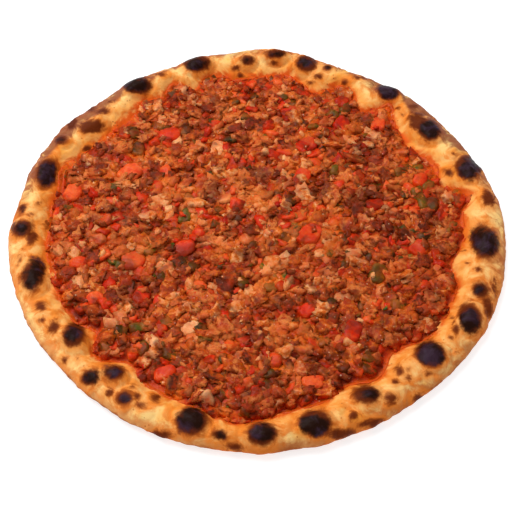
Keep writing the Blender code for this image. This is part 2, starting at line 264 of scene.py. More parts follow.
@dataclass
class BreadForm:
    """The bread's sizes, and the functions that its pieces share with the solids."""

    radius: float = 140 * MM
    sheet: float = 3.5 * MM
    crown_height: float = 11.3 * MM
    crown_wave: float = 0.7 * MM
    crown_at: float = 0.56
    edge_height: float = 5.2 * MM
    underside_inset: float = 7.0 * MM
    spread_mean_radius: float = 118 * MM
    foot_inside_spread: float = 5.0 * MM
    skirt: float = 3.0 * MM
    dome_power: float = 1.2
    crease_at: float = 1.02
    crease_width: float = 0.10
    crease_full: float = 3.0

    @staticmethod
    def waves(waves: Sequence[Wave], angle: Array) -> Array:
        """Sum bell-shaped waves.

        Args:
            waves: the waves.
            angle: the angles in radians to sum them at.

        Returns:
            The sums in metres.
        """
        total = np.zeros_like(angle)
        for wave in waves:
            off = (np.degrees(angle) - wave.angle + 180) % 360 - 180
            total += wave.reach * MM * np.exp(-0.5 * (off / wave.spread) ** 2)
        return total

    def edge(self, angle: Array) -> Array:
        """Radius of the outer edge."""
        return self.radius + self.waves(EDGE_WAVES, angle)

    def spread(self, angle: Array) -> Array:
        """Radius at which the mince ends."""
        return self.spread_mean_radius + self.waves(SPREAD_WAVES, angle)

    def foot(self, angle: Array) -> Array:
        """Radius at which the flat sheet starts to rise into the rim."""
        return self.spread(angle) - self.foot_inside_spread

    def crown(self, angle: Array) -> Array:
        """Height of the bare rim's crown."""
        wave = [noise.noise(Vector((3 * math.cos(a), 3 * math.sin(a), 0.5))) for a in angle.ravel()]
        return self.crown_height + self.crown_wave * np.array(wave).reshape(angle.shape)

    def blister_fields(self, x: Array, y: Array) -> tuple[Array, Array]:
        """Measure the blisters at places on the rim.

        Args:
            x: distances to the right.
            y: distances away.

        Returns:
            The height that blisters add, and how strongly the crease round them shows, from 0 to 1.
        """
        rise = np.zeros_like(x)
        crease = np.zeros_like(x)
        for blister in BLISTERS:
            turn = math.radians(blister.angle)
            across = x * math.cos(turn) + y * math.sin(turn) - blister.out * MM
            along = y * math.cos(turn) - x * math.sin(turn)
            reach = (
                (along / (blister.along * MM / 2 + self.skirt)) ** 2
                + (across / (blister.across * MM / 2 + self.skirt)) ** 2
            )
            dome = np.clip(1 - reach, 0, 1) ** self.dome_power
            rise = np.maximum(rise, blister.rise * MM * dome)
            ring = np.exp(-(((np.sqrt(reach) - self.crease_at) / self.crease_width) ** 2))
            crease = np.maximum(crease, ring * min(1.0, blister.rise / self.crease_full))
        return rise, crease

    def height(self, radius: Array, angle: Array) -> Array:
        """Measure the bread's upper face, blisters left out.

        Args:
            radius: the radii of the places.
            angle: their angles in radians.

        Returns:
            Their heights.
        """
        foot, edge, crown = self.foot(angle), self.edge(angle), self.crown(angle)
        share = (radius - foot) / (edge - foot)
        climb = np.clip(share / self.crown_at, 0, 1)
        inner = self.sheet + (crown - self.sheet) * climb * climb * (3 - 2 * climb)
        fall = np.clip((share - self.crown_at) / (1 - self.crown_at), 0, 1)
        outer = self.edge_height + (crown - self.edge_height) * np.sqrt(1 - fall * fall)
        return np.where(share <= self.crown_at, inner, outer)


class NodeBuilder:
    """A node tree, built one node at a time."""

    tree: NodeTree

    def add(self, kind: str, inputs: dict[Any, Any], **settings: Any) -> Node:
        """Add a node.

        Args:
            kind: the node's type.
            inputs: for each input by name or number, a socket to link or a value to set.
            **settings: the node's own properties.

        Returns:
            The node.
        """
        node = self.tree.nodes.new(kind)
        for key, value in settings.items():
            setattr(node, key, value)
        for key, value in inputs.items():
            if isinstance(value, NodeSocket):
                self.tree.links.new(value, node.inputs[key])
            else:
                node.inputs[key].default_value = value
        return node

    def join(self, first: Any, second: Any, operation: str = "ADD") -> NodeSocket:
        """Join two values by a mathematical operation, which is their sum unless it is named."""
        return self.add("ShaderNodeMath", {0: first, 1: second}, operation=operation).outputs["Value"]

    def product(self, first: Any, second: Any) -> NodeSocket:
        """Multiply two values."""
        return self.join(first, second, "MULTIPLY")


class Recipe(NodeBuilder):
    """A material's node tree."""

    def __init__(self, name: str) -> None:
        """Start a material with only its output.

        Args:
            name: the material's name.
        """
        self.material = bpy.data.materials.new(name)
        self.material.use_nodes = True
        self.tree = self.material.node_tree
        self.tree.nodes.clear()
        self.output = self.tree.nodes.new("ShaderNodeOutputMaterial")
        self.place = self.add("ShaderNodeTexCoord", {}).outputs["Object"]

    def mask(self, mask: Mask) -> NodeSocket:
        """Read one of the mesh's attributes."""
        return self.add("ShaderNodeAttribute", {}, attribute_name=mask.value).outputs["Fac"]

    def noise(self, scale: float, detail: float = 2, rough: float = 0.5, bend: float = 0) -> NodeSocket:
        """Make noise in space.

        Args:
            scale: waves to the metre.
            detail: how many finer layers it has.
            rough: how strong these are.
            bend: how far it is distorted.

        Returns:
            The noise, from 0 to 1.
        """
        inputs = {"Vector": self.place, "Scale": scale, "Detail": detail}
        inputs |= {"Roughness": rough, "Distortion": bend}
        return self.add("ShaderNodeTexNoise", inputs).outputs["Fac"]

    def cells(self, scale: float) -> NodeSocket:
        """Distance from the middles of cells in space, scale of them to the metre."""
        inputs = {"Vector": self.place, "Scale": scale}
        return self.add("ShaderNodeTexVoronoi", inputs).outputs["Distance"]

    def band(
        self, value: NodeSocket, low: float, high: float, start: float = 0, end: float = 1
    ) -> NodeSocket:
        """Rise softly from start where value is low to end where it is high."""
        inputs = {"Value": value, 1: low, 2: high, 3: start, 4: end}
        return self.add("ShaderNodeMapRange", inputs, interpolation_type="SMOOTHSTEP").outputs["Result"]

    def mix(self, share: Any, first: Any, second: Any) -> NodeSocket:
        """Mix two colours by the share of the second."""
        first, second = ((*tone, 1.0) if isinstance(tone, tuple) else tone for tone in (first, second))
        return self.add("ShaderNodeMix", {0: share, 6: first, 7: second}, data_type="RGBA").outputs[2]

    def coat(
        self, colour: NodeSocket, tone: Any, where: NodeSocket, low: float, high: float, share: float = 1
    ) -> NodeSocket:
        """Lay a tone over a colour, rising from none of it where a value is low to a share of it."""
        return self.mix(self.band(where, low, high, 0, share), colour, tone)

    def ramp(self, value: NodeSocket, *stops: tuple[float, tuple]) -> NodeSocket:
        """Turn a value into a colour.

        Args:
            value: the value from 0 to 1.
            *stops: pairs of a place from 0 to 1 and the colour there.

        Returns:
            The colour.
        """
        node = self.add("ShaderNodeValToRGB", {"Fac": value})
        elements = node.color_ramp.elements
        while len(elements) < len(stops):
            elements.new(1.0)
        for element, (place, colour) in zip(elements, stops):
            element.position = place
            element.color = (*colour, 1.0)
        return node.outputs["Color"]

    def bump(self, height: NodeSocket, strength: float, depth: float, under: Any = None) -> NodeSocket:
        """Make the surface's normal follow a relief.

        Args:
            height: the relief, from 0 to 1.
            strength: how far the normal follows it.
            depth: the relief's depth in metres.
            under: the normal of an earlier relief that it lies on.

        Returns:
            The normal.
        """
        inputs = {"Height": height, "Strength": strength, "Distance": depth}
        if under is not None:
            inputs["Normal"] = under
        return self.add("ShaderNodeBump", inputs).outputs["Normal"]

    def finish(self, **inputs: Any) -> Material:
        """Put the shader on the output.

        Args:
            **inputs: the shader's inputs, by name with underscores for spaces.

        Returns:
            The finished material.
        """
        named = {key.replace("_", " "): value for key, value in inputs.items()}
        for key, value in named.items():
            if isinstance(value, tuple) and len(value) == 3 and key != "Subsurface Radius":
                named[key] = (*value, 1.0)
        shader = self.add("ShaderNodeBsdfPrincipled", named)
        self.tree.links.new(shader.outputs["BSDF"], self.output.inputs["Surface"])
        return self.material


@dataclass(frozen=True)
class CrustFinish:
    """Baked dough, cream to orange-gold, browner on blisters; burnt spots with painted sheen; sides
    browned and painted shade.
    """

    cream: tuple = srgb(255, 210, 132)
    gold: tuple = srgb(255, 176, 74)
    orange: tuple = srgb(234, 126, 36)
    toast: tuple = srgb(156, 66, 16)
    tan: tuple = srgb(224, 144, 80)
    deep: tuple = srgb(164, 84, 32)
    under: tuple = srgb(112, 50, 14)
    floured: tuple = srgb(222, 166, 100)
    amber: tuple = srgb(250, 150, 52)
    oil: tuple = srgb(222, 82, 12)
    # Painted shade on the outer side, a dull brown.
    dusk: tuple = srgb(138, 76, 54)
    brown: tuple = srgb(88, 28, 4)
    char: tuple = srgb(24, 9, 4)
    # Painted sheen of reflected sky on the char, grey-purple.
    painted_char_sheen: tuple = srgb(54, 38, 54)

    def material(self) -> Material:
        """Build the material.

        Returns:
            The material.
        """
        r = Recipe("baked_crust")
        patch = r.noise(42, 3, 0.6)
        cloud = r.noise(105, 4, 0.62, 0.6)
        fine = r.noise(300, 4, 0.65)
        grain = r.noise(1000, 3, 0.6)
        side = r.mask(Mask.SIDE)
        raised = r.mask(Mask.RAISED)

        stops = ((0.28, self.gold), (0.42, self.cream), (0.56, self.cream), (0.72, self.gold))
        colour = r.ramp(patch, *stops)
        colour = r.coat(colour, self.orange, cloud, 0.47, 0.64, 0.75)
        colour = r.coat(colour, self.orange, fine, 0.52, 0.75, 0.45)
        toasted = r.product(raised, r.band(cloud, 0.3, 0.6, 0.25, 1.0))
        colour = r.coat(colour, self.toast, toasted, 0.3, 0.95, 0.45)

        # Down the outer side: browns of the baking, deepening with painted shade towards the floor.
        turned = r.join(side, r.band(cloud, 0.25, 0.75, -0.16, 0.16))
        colour = r.coat(colour, self.tan, turned, 0.02, 0.24, 0.85)
        colour = r.coat(colour, self.deep, turned, 0.3, 0.6)
        colour = r.coat(colour, self.under, turned, 0.62, 1.0, 0.7)
        # Painted shade, a deep brown, over the outer side at the angles of its waves.
        side_brown_shading = r.product(r.mask(Mask.SIDE_BROWN_SHADE), r.band(cloud, 0.3, 0.62, 0.25, 0.75))
        colour = r.mix(side_brown_shading, colour, self.deep)
        # The underside's colours, laid also on the lower edge, where they stand partly for painted shade.
        stone = r.noise(55, 4, 0.6, 0.4)
        baked = r.ramp(stone, (0.36, self.floured), (0.5, self.tan), (0.6, self.deep), (0.7, self.under))
        colour = r.coat(colour, baked, side, 0.82, 0.98)
        flecks = r.product(cloud, r.band(side, 0.82, 0.98))
        colour = r.coat(colour, self.brown, flecks, 0.56, 0.66, 0.85)

        wash = r.product(r.mask(Mask.STAIN), r.band(cloud, 0.25, 0.65, 0.5, 1.3))
        colour = r.coat(colour, self.amber, wash, 0.03, 0.4, 0.6)
        colour = r.coat(colour, self.oil, wash, 0.5, 1.05, 0.9)
        speck = r.cells(310)
        freckle = r.product(r.band(speck, 0.2, 0.1), r.band(patch, 0.46, 0.6))
        colour = r.mix(r.product(freckle, 0.75), colour, self.deep)

        ragged = r.band(fine, 0.2, 0.8, -0.6, 0.6)
        drift = r.join(ragged, r.band(cloud, 0.25, 0.75, -2.0, 2.0))
        brown_by = r.mask(Mask.BROWN)
        char_by = r.mask(Mask.CHAR)
        near = r.join(r.join(brown_by, -0.6), char_by, "MAXIMUM")
        halo = r.join(near, drift)
        colour = r.coat(colour, self.orange, halo, -6.0, -1.0, 0.7)
        colour = r.coat(colour, self.toast, halo, -1.9, 0.9, 0.75)
        # Painted shade, a dull brown, over the outer side at the angles of its waves.
        side_dusk_shading = r.product(r.mask(Mask.SIDE_DUSK_SHADE), r.band(cloud, 0.3, 0.62, 0.4, 1.4))
        colour = r.coat(colour, self.dusk, side_dusk_shading, 0.08, 0.75, 0.85)
        mottled = r.join(brown_by, r.band(cloud, 0.3, 0.7, -1.3, 1.3))
        colour = r.coat(colour, self.brown, r.join(mottled, ragged), -1.2, 2.2, 0.88)
        char_edge = r.join(char_by, ragged)
        colour = r.coat(colour, self.brown, char_edge, -1.1, 1.5, 0.92)
        shifted = r.join(char_edge, r.band(r.noise(70, 2, 0.5, 0.3), 0.3, 0.7, -1.6, 2.2))
        charred = r.band(r.join(shifted, r.band(fine, 0.3, 0.7, -0.4, 0.4)), 0.2, 3.6, 0, 0.94)
        # The char, with patches of painted grey-purple sheen.
        char_with_sheen = r.mix(r.band(cloud, 0.46, 0.7), self.char, self.painted_char_sheen)
        colour = r.mix(charred, colour, char_with_sheen)

        normal = r.bump(cloud, 0.45, 1.6 * MM)
        normal = r.bump(fine, 0.4, 0.7 * MM, normal)
        normal = r.bump(grain, 0.3, 0.25 * MM, normal)
        return r.finish(
            Base_Color=colour,
            Roughness=r.band(charred, 0, 1, 0.55, 0.42),
            Specular_IOR_Level=0.06,
            Subsurface_Weight=0.05,
            Subsurface_Radius=(1.0, 0.5, 0.25),
            Subsurface_Scale=2 * MM,
            Normal=normal,
        )


@dataclass(frozen=True)
class Glaze:
    """The oil and sauce that cover the whole topping, in one pattern over all its pieces."""

    dark: tuple = srgb(116, 28, 0)
    red: tuple = srgb(194, 48, 6)
    orange: tuple = srgb(230, 106, 22)
    fringe: tuple = srgb(226, 84, 16)
    roasted: tuple = srgb(92, 30, 6)
    fatty: tuple = srgb(244, 134, 60)
    deep: float = 6.4 * MM
    clear: float = 8.9 * MM

    def cover(self, r: Recipe, colour: NodeSocket, share: float) -> NodeSocket:
        """Lay the glaze over a colour, thickest where a piece is sunk in the sauce.

        Args:
            r: the material's recipe.
            colour: the colour beneath.
            share: how much of the colour it hides on the top of a piece.

        Returns:
            The colour that shows.
        """
        colour = r.coat(colour, self.dark, r.noise(30, 2, 0.5), 0.5, 0.68, 0.32)
        patch = r.noise(78, 2, 0.5, 0.6)
        colour = r.coat(colour, self.roasted, patch, 0.49, 0.37, 0.66)
        colour = r.coat(colour, self.fatty, patch, 0.52, 0.64, 0.8 * share)
        pool = r.band(r.noise(150, 4, 0.6, 0.4), 0.4, 0.66, 0, share)
        height = r.add("ShaderNodeSeparateXYZ", {"Vector": r.place}).outputs["Z"]
        lapped = r.join(height, r.band(r.noise(420, 3, 0.6), 0.3, 0.7, -1.1 * MM, 1.1 * MM))
        sunk = r.band(lapped, self.deep, self.clear, 0.92, 0)
        sheet = r.ramp(r.noise(70, 3, 0.6), (0.36, self.dark), (0.48, self.red), (0.64, self.orange))
        colour = r.mix(r.join(pool, sunk, "MAXIMUM"), colour, sheet)
        return r.coat(colour, self.fringe, r.mask(Mask.FRINGE), 0.1, 0.9, 0.9)


@dataclass(frozen=True)
class PieceFinish:
    """Flesh of a piece whose colour differs from piece to piece, wet with oil.

    Attributes:
        name: the material's name.
        tones: the colours over the pieces, from tint 0 to tint 1.
        glazed: how much the sauce hides of a piece's top at most.
        blotch: waves to the metre of the change of colour within a piece.
        gloss: roughness of the wet places.
        matt: roughness of the dry places.
        soft: how far light enters.
        grain: depth of the fine relief.
        glint_share: how strongly painted glints of the wet oil show, as pale flecks.
        drift: how far the tint changes within a piece.
    """

    name: str
    tones: tuple
    glazed: float = 0.6
    blotch: float = 300
    gloss: float = 0.22
    matt: float = 0.55
    soft: float = 0.3
    grain: float = 0.4 * MM
    glint_share: float = 0.0
    drift: float = 0.14
    # Pale flecks painted as glints of the wet oil.
    glint_tone: tuple = srgb(255, 226, 190)

    def material(self) -> Material:
        """Build the material.

        Returns:
            The material.
        """
        r = Recipe(self.name)
        tint = r.mask(Mask.TINT)
        step = 1 / max(1, len(self.tones) - 1)
        blotch = r.noise(self.blotch, 3, 0.6)
        grain = r.noise(700, 4, 0.65, 0.5)
        varied = r.join(tint, r.band(blotch, 0.3, 0.7, -self.drift, self.drift))
        colour = r.ramp(varied, *((number * step, tone) for number, tone in enumerate(self.tones)))
        colour = Glaze().cover(r, colour, self.glazed)
        colour = r.mix(r.band(grain, 0.3, 0.5, 0.22, 0), colour, self.tones[0])
        colour = r.coat(colour, self.tones[-1], grain, 0.56, 0.76, 0.14)
        # Painted glints of the wet oil, as small pale flecks in the colour.
        if self.glint_share:
            glint_spot = r.product(r.band(r.cells(420), 0.2, 0.12), r.band(blotch, 0.52, 0.6))
            colour = r.mix(r.product(glint_spot, self.glint_share), colour, self.glint_tone)
        normal = r.bump(blotch, 0.5, 1.2 * MM)
        normal = r.bump(grain, 0.6, self.grain, normal)
        return r.finish(
            Base_Color=colour,
            Roughness=r.band(blotch, 0.35, 0.65, self.matt, self.gloss),
            Specular_IOR_Level=0.12,
            Subsurface_Weight=self.soft,
            Subsurface_Radius=(1.0, 0.35, 0.15),
            Subsurface_Scale=2.2 * MM,
            Normal=normal,
        )


MINCE_TONES = (
    srgb(84, 26, 0), srgb(164, 52, 8), srgb(98, 44, 8), srgb(184, 78, 26), srgb(228, 130, 62),
    srgb(160, 38, 0), srgb(218, 106, 20), srgb(250, 172, 110),
)
SAUCE_TONES = (
    srgb(116, 34, 0), srgb(184, 62, 8), srgb(120, 52, 6), srgb(192, 84, 28), srgb(170, 44, 0),
    srgb(214, 116, 50),
)
# The mince and the sauce carry painted glints, as pale flecks.
MINCE = PieceFinish("minced_meat", MINCE_TONES, glazed=0.5, glint_share=0.4, soft=0.35, grain=0.7 * MM)
SAUCE = PieceFinish("sauce_and_fine_mince", SAUCE_TONES, glazed=0.8, gloss=0.18, matt=0.45, glint_share=0.3)
TOMATO = PieceFinish(
    "cooked_tomato",
    (srgb(176, 24, 0), srgb(214, 44, 6), srgb(222, 58, 14), srgb(236, 96, 40)),
    glazed=0.25,
    blotch=230,
    gloss=0.2,
    matt=0.42,
    soft=0.4,
    drift=0.3,
)
ONION = PieceFinish(
    "cooked_onion",
    (srgb(196, 84, 28), srgb(224, 116, 58), srgb(232, 140, 82), srgb(250, 182, 122)),
    glazed=0.5,
    blotch=230,
    gloss=0.2,
    matt=0.4,
    soft=0.4,
    drift=0.25,
)
PEPPER = PieceFinish(
    "roasted_pepper",
    (srgb(40, 24, 2), srgb(76, 56, 6), srgb(98, 48, 6), srgb(84, 80, 14)),
    glazed=0.3,
    blotch=230,
    gloss=0.2,
    matt=0.4,
    soft=0.1,
)
HERB = PieceFinish(
    "chopped_parsley",
    (srgb(32, 36, 4), srgb(52, 66, 8), srgb(46, 34, 4), srgb(54, 104, 20)),
    glazed=0.35,
    gloss=0.28,
    matt=0.5,
    soft=0.05,
    grain=0.1 * MM,
)


def place_piece(
    name: str, mesh: Mesh, replaced: Sequence[str] = (), material: Material | None = None
) -> Object:
    """Put a finished mesh into the scene as a piece of the object.

    Args:
        name: the piece's name.
        mesh: its mesh, in place about the bread's own middle.
        replaced: the solids that it stands for.
        material: its finish, unless the mesh has it.

    Returns:
        The piece.
    """
    if material is not None:
        mesh.materials.clear()
        mesh.materials.append(material)
    mesh.transform(Matrix.Translation(-BOX_MIDDLE))
    mesh.shade_smooth()
    mesh.name = name
    piece = bpy.data.objects.new(name, mesh)
    bpy.context.scene.collection.objects.link(piece)
    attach(piece, BODY)
    if replaced:
        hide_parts(*replaced)
    LOG.info("%s: %d faces", name, len(mesh.polygons))
    return piece


def set_mask(mesh: Mesh, mask: Mask, values: Array) -> None:
    """Store one value for each vertex."""
    attribute = mesh.attributes.new(mask.value, "FLOAT", "POINT")
    attribute.data.foreach_set("value", values.astype(np.float32))


def lattice(spacing: float, reach: Callable[[float], float], shake: float, seed: int) -> list[Vector]:
    """Make a shaken triangular lattice of points inside a round outline.

    Args:
        spacing: distance between points.
        reach: gives the outline's radius at an angle in radians.
        shake: how far a point may move, as a share of the spacing.
        seed: seed of the movement.

    Returns:
        The points.
    """
    draw = random.Random(seed)
    row_step = spacing * math.sqrt(3) / 2
    rows = int(LATTICE_REACH / row_step) + 1
    points = []
    for row in range(-rows, rows + 1):
        for place in range(-2 * rows, 2 * rows + 1):
            x = (place + row / 2) * spacing + draw.uniform(-shake, shake) * spacing
            y = row * row_step + draw.uniform(-shake, shake) * spacing
            if math.hypot(x, y) < min(LATTICE_REACH, reach(math.atan2(y, x))):
                points.append(Vector((x, y)))
    return points


def fill_outline(
    outline: list[Vector], spacing: float, shake: float, seed: int
) -> tuple[list, list, list]:
    """Fill a round outline with a shaken lattice and triangles.

    Args:
        outline: its corners, at even angles from 0.
        spacing: distance between the points inside.
        shake: how far a point may move, as a share of the spacing.
        seed: seed of the movement.

    Returns:
        The places, the triangles, and for each place the number of its corner, or None inside.
    """
    steps = len(outline)
    reach = [corner.length - LATTICE_MARGIN * spacing for corner in outline]
    inner = lattice(spacing, lambda turn: reach[round(turn / math.tau * steps) % steps], shake, seed)
    made = delaunay_2d_cdt(outline + inner, [], [list(range(steps))], 1, MERGE_DISTANCE)
    places, triangles, origins = made[0], made[2], made[3]
    return places, triangles, [origin[0] if origin[0] < steps else None for origin in origins]


@dataclass
class Crust:
    """The bread with its puffed and blistered rim, as a skin of rings with a closely meshed underside."""

    form: BreadForm
    round_steps: int = 1200
    covered_rings: int = 4
    inner_rings: int = 17
    outer_rings: int = 20
    lower_rings: int = 14
    under_spacing: float = 3.2 * MM
    lumps: tuple = ((105, 0.42 * MM), (250, 0.28 * MM), (560, 0.12 * MM))
    crease_depth: float = 0.6 * MM
    bubble_count: int = 520
    bubble_least_radius: float = 116 * MM
    bubble_reach: tuple = (1.2 * MM, 3.4 * MM)
    bubble_rise: tuple = (0.15 * MM, 0.75 * MM)
    spot_share: float = 0.7
    spot_rise: float = 0.16
    widest_bubble: float = 8 * MM
    seed: int = 21
    char_waves: float = 420
    char_wrinkle: float = 0.22 * MM
    char_sink: float = 0.2
    char_border: tuple = (-0.5, 1.5)
    bubble_border: tuple = (0.5, 0.7)
    lump_border: tuple = (0.75, 1.0)
    burnt_border: tuple = (0.72, 0.95)
    under_relief: float = 0.35 * MM
    under_waves: float = 45
    under_fade: float = 8 * MM
    under_shake: float = 0.2
    under_seed: int = 5
    unburnt: float = -20.0
    hidden_from: float = -20 * MM
    hidden_to: float = 60 * MM
    hidden_side: float = 0.38
    stain_length: float = 5.4
    stain_wander: float = 0.6
    stain_waves: float = 70
    outward_wander: float = 0.25
    outward_waves: float = 55
    # Where the deep brown painted shade starts on the outer side.
    side_brown_shade_border: tuple = (0.0, 0.8)
    # Where the dull brown painted shade starts on the outer side, and where and by how much it thins low
    # down.
    side_dusk_shade_border: tuple = (-0.25, 0.6)
    side_dusk_shade_end: tuple = (0.3, 0.6)
    side_dusk_shade_loss: float = 0.6
    raised_border: tuple = (0.2 * MM, 3.0 * MM)
    raised_crease: float = 0.5

    def rings(self) -> tuple[Array, Array]:
        """Lay out the rings of the skin, from the rim's foot over the top to the flat underside.

        Returns:
            The points as rings by steps by 3, and how far down the outer side each is, from 0 to 1.
        """
        form = self.form
        angle = np.linspace(0, 2 * np.pi, self.round_steps, endpoint=False)
        foot, spread, edge = form.foot(angle), form.spread(angle), form.edge(angle)
        crown = foot + (edge - foot) * form.crown_at
        radii = [foot + (spread - foot) * step / self.covered_rings for step in range(self.covered_rings)]
        radii += [spread + (crown - spread) * step / self.inner_rings for step in range(self.inner_rings)]
        sides = [np.zeros_like(angle) for _ in radii]
        for step in range(self.outer_rings + 1):
            bend = math.sin(math.pi / 2 * step / self.outer_rings)
            radii.append(crown + (edge - crown) * bend)
            sides.append(np.full_like(angle, 0.5 * (step / self.outer_rings) ** 2))
        points = []
        for radius, side in zip(radii, sides):
            x, y = radius * np.cos(angle), radius * np.sin(angle)
            rise, crease = form.blister_fields(x, y)
            share = (radius - foot) / (edge - foot)
            push = np.clip((share - form.crown_at) / (1 - form.crown_at), 0, 1) ** 3
            height = form.height(radius, angle) + rise * (1 - push) - crease * self.crease_depth
            out = radius + rise * push / 2
            points.append(on_circle(out, angle, height))
        outermost = polar(points[-1])[1]
        for step in range(1, self.lower_rings + 1):
            bend = math.pi / 2 * step / self.lower_rings
            out = outermost - form.underside_inset * (1 - math.cos(bend))
            height = np.full_like(angle, form.edge_height * (1 - math.sin(bend)))
            points.append(on_circle(out, angle, height))
            sides.append(np.full_like(angle, 0.5 + 0.5 * step / self.lower_rings))
        return np.array(points), np.array(sides)

    def bubbles(self, points: Array) -> Array:
        """Measure the small bubbles of the skin, strewn at random and one under each burnt spot.

        Args:
            points: the points.

        Returns:
            The height that the bubbles add along the surface's normal.
        """
        draw = random.Random(self.seed)
        domes = []
        for _ in range(self.bubble_count):
            turn = draw.uniform(0, 2 * math.pi)
            out = draw.uniform(self.bubble_least_radius, self.form.radius)
            place = (out * math.cos(turn), out * math.sin(turn))
            domes.append((*place, draw.uniform(*self.bubble_reach), draw.uniform(*self.bubble_rise)))
        for spot in SPOTS:
            reach = min(spot.wide, spot.deep) * MM * self.spot_share
            if reach < self.widest_bubble / 2:
                domes.append((spot.right * MM, spot.away * MM, reach, reach * self.spot_rise))
        seen = as_seen(points)
        height = np.zeros(len(points))
        for number, (x, y, reach, rise) in enumerate(domes):
            across, away = (points[:, 0], points[:, 1]) if number < self.bubble_count else seen
            near = np.flatnonzero((np.abs(across - x) < reach) & (np.abs(away - y) < reach))
            share = ((across[near] - x) ** 2 + (away[near] - y) ** 2) / reach**2
            dome = rise * np.clip(1 - share, 0, 1) ** 0.7
            height[near] = np.maximum(height[near], dome)
        return height

    def burn_field(self, points: Array, burn: Burn) -> Array:
        """Measure how deep each point lies inside a burnt spot, as the eater sees it.

        Args:
            points: the points.
            burn: which spots count.

        Returns:
            The depth in mm, negative outside.
        """
        seen_x, seen_y = as_seen(points)
        field = np.full(len(points), self.unburnt)
        for spot in (spot for spot in SPOTS if spot.burn is burn):
            across = (seen_x / MM - spot.right) / (spot.wide / 2)
            away = (seen_y / MM - spot.away) / (spot.deep / 2)
            inside = (1 - np.hypot(across, away)) * min(spot.wide, spot.deep) / 2
            field = np.maximum(field, inside)
        return field

    def roughen(self, grid: Array, sides: Array, char: Array) -> Array:
        """Give the skin its small lumps and the char its wrinkles, along the surface's own normals.

        Args:
            grid: the points as rings by steps by 3.
            sides: how far down the outer side each is.
            char: how deep each lies inside a charred spot, in mm.

        Returns:
            The moved points.
        """
        down = np.gradient(grid, axis=0)
        round_about = np.roll(grid, -1, axis=1) - np.roll(grid, 1, axis=1)
        normals = np.cross(down, round_about)
        normals /= np.linalg.norm(normals, axis=2, keepdims=True)
        flat = grid.reshape(-1, 3)
        depth = sum(size * noise_at(flat, scale, scale) for scale, size in self.lumps)
        charred = smooth_step(char, *self.char_border).ravel()
        wrinkle = np.abs(noise_at(flat, self.char_waves, 3.0)) * charred
        depth += self.char_wrinkle * (wrinkle - self.char_sink * charred)
        depth += self.bubbles(flat) * (1 - smooth_step(sides, *self.bubble_border).ravel())
        depth *= 1 - smooth_step(sides, *self.lump_border).ravel()
        return grid + normals * depth.reshape(*grid.shape[:2], 1)

    def mesh(self) -> Mesh:
        """Build the closed mesh with its masks.

        Returns:
            The mesh.
        """
        form = self.form
        grid, sides = self.rings()
        char = self.burn_field(grid.reshape(-1, 3), Burn.CHARRED).reshape(sides.shape)
        points = self.roughen(grid, sides, char).reshape(-1, 3)
        ring_count, steps = sides.shape
        last = (ring_count - 1) * steps
        pairs = [(step, (step + 1) % steps) for step in range(steps)]
        faces = [
            (ring + step, ring + steps + step, ring + steps + after, ring + after)
            for ring in range(0, last, steps)
            for step, after in pairs
        ]

        outline = [Vector(point[:2]) for point in points[last:].tolist()]
        filled = fill_outline(outline, self.under_spacing, self.under_shake, self.under_seed)
        places, triangles, corners = filled
        inner = []
        numbers = []
        for place, corner in zip(places, corners):
            if corner is not None:
                numbers.append(last + corner)
                continue
            numbers.append(len(points) + len(inner))
            lift = max(0.0, noise.noise(Vector((place.x, place.y, 0.3)) * self.under_waves) + 0.1)
            away = min(1.0, (form.radius - form.underside_inset - place.length) / self.under_fade)
            inner.append((place.x, place.y, self.under_relief * lift * max(0.0, away)))
        faces += [tuple(numbers[corner] for corner in reversed(triangle)) for triangle in triangles]

        hub = len(points) + len(inner)
        inner.append((0.0, 0.0, form.sheet))
        faces += [(hub, step, after) for step, after in pairs]
        everything = np.vstack((points, np.array(inner)))
        mesh = bpy.data.meshes.new("crust")
        mesh.from_pydata(everything.tolist(), [], faces)
        self.dress_masks(mesh, everything, sides.ravel())
        return mesh

    def dress_masks(self, mesh: Mesh, points: Array, sides: Array) -> None:
        """Store where the crust is charred, browned, stained, turned down and raised, and where painted
        shade lies on its outer side.

        Args:
            mesh: the mesh.
            points: all its points.
            sides: how far down the outer side each point of the rings is.
        """
        form = self.form
        every_side = np.concatenate((sides, np.ones(len(points) - len(sides))))
        hidden = smooth_step(points[:, 1], self.hidden_from, self.hidden_to)
        above = 1 - smooth_step(every_side + self.hidden_side * hidden, *self.burnt_border)
        angle, radius = polar(points)
        for mask, burn in ((Mask.CHAR, Burn.CHARRED), (Mask.BROWN, Burn.BROWNED)):
            field = self.burn_field(points, burn)
            set_mask(mesh, mask, field * above + self.unburnt * (1 - above))
        past = (radius - form.spread(angle)) / MM
        flat = points * (1, 1, 0)
        wander = 1 + self.stain_wander * noise_at(flat, self.stain_waves, 9.0)
        stain = np.exp(-np.clip(past, 0, None) / (self.stain_length * np.clip(wander, 0.3, None)))
        set_mask(mesh, Mask.STAIN, stain * above)
        set_mask(mesh, Mask.SIDE, every_side)
        foot, edge = form.foot(angle), form.edge(angle)
        crown = foot + (edge - foot) * form.crown_at
        outward = (radius - crown) / (edge - crown)
        outward += self.outward_wander * noise_at(flat, self.outward_waves, 2.0)
        # Painted shade on the outer side, a deep brown, strongest at some angles.
        baked = np.clip(form.waves(SIDE_BROWN_SHADE_WAVES, angle) / MM, 0, 1)
        set_mask(mesh, Mask.SIDE_BROWN_SHADE, smooth_step(outward, *self.side_brown_shade_border) * baked)
        # Painted shade on the outer side, a dull brown, strongest at some angles and thinner low down.
        strength = np.clip(form.waves(SIDE_DUSK_SHADE_WAVES, angle) / MM, 0, 1)
        low = self.side_dusk_shade_loss * smooth_step(every_side, *self.side_dusk_shade_end)
        set_mask(mesh, Mask.SIDE_DUSK_SHADE, smooth_step(outward, *self.side_dusk_shade_border) * strength * (1 - low))
        rise, crease = form.blister_fields(points[:, 0], points[:, 1])
        raised = smooth_step(rise, *self.raised_border) + self.raised_crease * crease
        set_mask(mesh, Mask.RAISED, raised * above)

    def build(self) -> Object:
        """Build the bread."""
        return place_piece("bread_crust", self.mesh(), ("bread",), CrustFinish().material())


